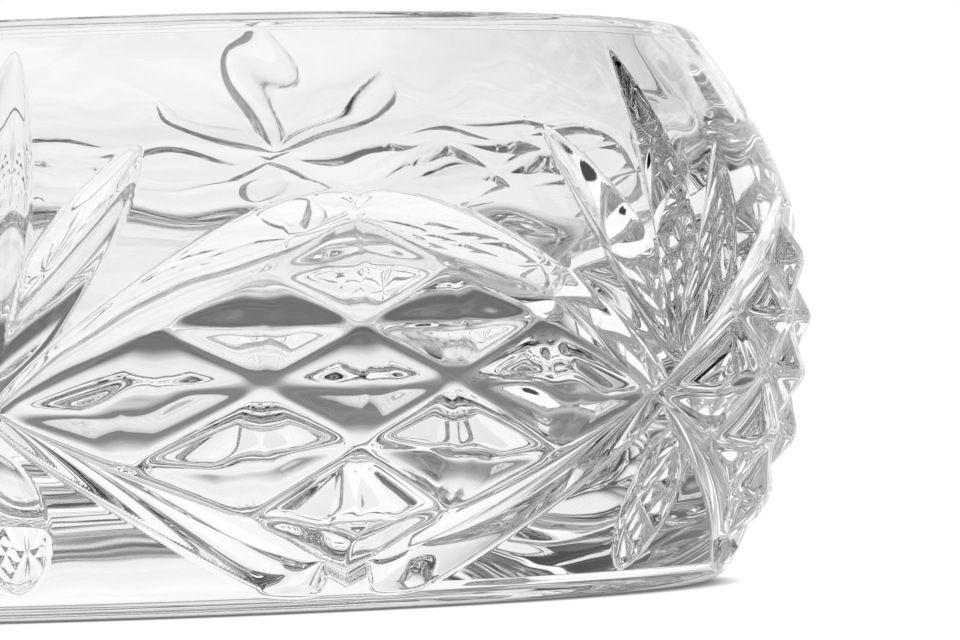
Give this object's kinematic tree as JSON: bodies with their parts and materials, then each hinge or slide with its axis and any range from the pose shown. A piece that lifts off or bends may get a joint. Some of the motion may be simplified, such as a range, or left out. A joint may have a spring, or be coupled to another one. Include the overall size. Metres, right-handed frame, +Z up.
{
  "type": "whiskey tumbler",
  "caption": "Low, wide, barrel-shaped whiskey tumbler of clear cut crystal: diamond fields and fans of leaf cuts round the outside, a plain band above, a smooth rounded rim and a thick base.",
  "frame": {"origin": "centre of the underside, in the plane that the standing ring rests on", "axes": "+Z up along the glass's axis; the middle of one diamond field faces -Y"},
  "size_m": [0.0994, 0.0994, 0.0417],
  "materials": {
    "crystal": "clear, colourless, polished lead crystal"
  },
  "bodies": {
    "root": {"glass_body": "crystal"}
  },
  "joints": []
}
